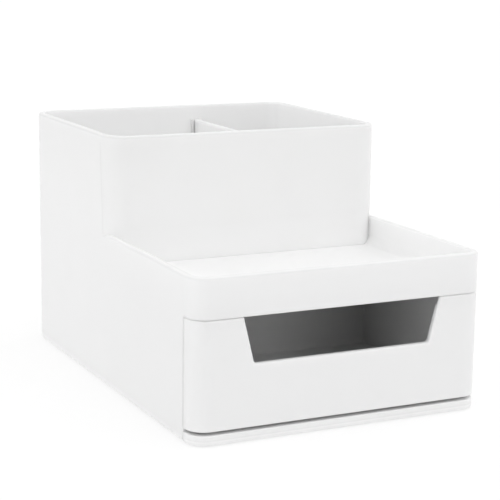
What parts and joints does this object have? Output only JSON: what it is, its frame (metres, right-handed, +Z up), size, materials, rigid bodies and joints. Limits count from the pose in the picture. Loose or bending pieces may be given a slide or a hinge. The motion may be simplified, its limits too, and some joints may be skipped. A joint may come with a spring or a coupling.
{
  "type": "desk organizer with drawer",
  "caption": "Stepped white desk organizer: tall divided pen cells at the back, a low note tray in front and a sliding drawer with a finger window under the tray.",
  "frame": {"origin": "middle of the footprint, on the surface that the feet stand on", "axes": "+Z up, the drawer front faces -Y, +X to the right seen from the front"},
  "size_m": [0.12, 0.173, 0.1006],
  "materials": {
    "white_plastic": "fine satin mould texture",
    "screw_steel": "zinc-plated",
    "foot_rubber": "matt"
  },
  "bodies": {
    "organizer": {"housing": "white_plastic", "cell_divider": "white_plastic", "base_plate": "white_plastic", "base_screws": "screw_steel", "foot_front_left": "foot_rubber", "foot_front_right": "foot_rubber", "foot_back_left": "foot_rubber", "foot_back_right": "foot_rubber"},
    "drawer": {"drawer_front": "white_plastic", "drawer_bin": "white_plastic"}
  },
  "joints": [
    {"name": "drawer_slide", "type": "slide", "parent": "organizer", "child": "drawer", "axis": [0, -1, 0], "range_m": [0, 0.06]}
  ]
}
